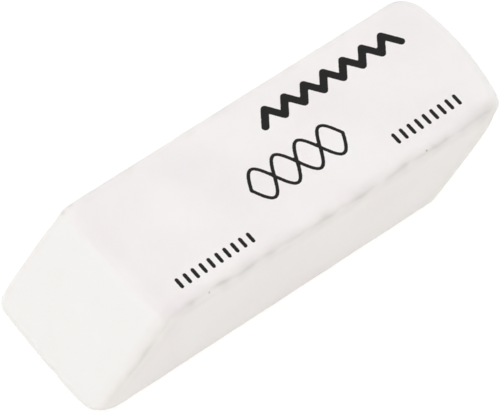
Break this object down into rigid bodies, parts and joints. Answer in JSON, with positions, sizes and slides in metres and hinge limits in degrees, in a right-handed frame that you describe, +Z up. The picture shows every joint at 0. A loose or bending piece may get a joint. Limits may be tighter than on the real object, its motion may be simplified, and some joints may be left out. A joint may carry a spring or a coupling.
{
  "type": "rubber eraser",
  "caption": "Slant-ended block eraser of white rubber, with softened edges and slightly bowed ends. It rests on its flat broad face.",
  "frame": {"origin": "centre of the bounding box, on the underside that the block rests on", "axes": "+X along the block towards the end whose upper edge overhangs, +Y across it towards the back, +Z up through the thickness"},
  "size_m": [0.0598, 0.0192, 0.0125],
  "materials": {
    "white_rubber": "matte, finely grained, softly rounded by use"
  },
  "bodies": {
    "root": {"eraser_block": "white_rubber"}
  },
  "joints": []
}
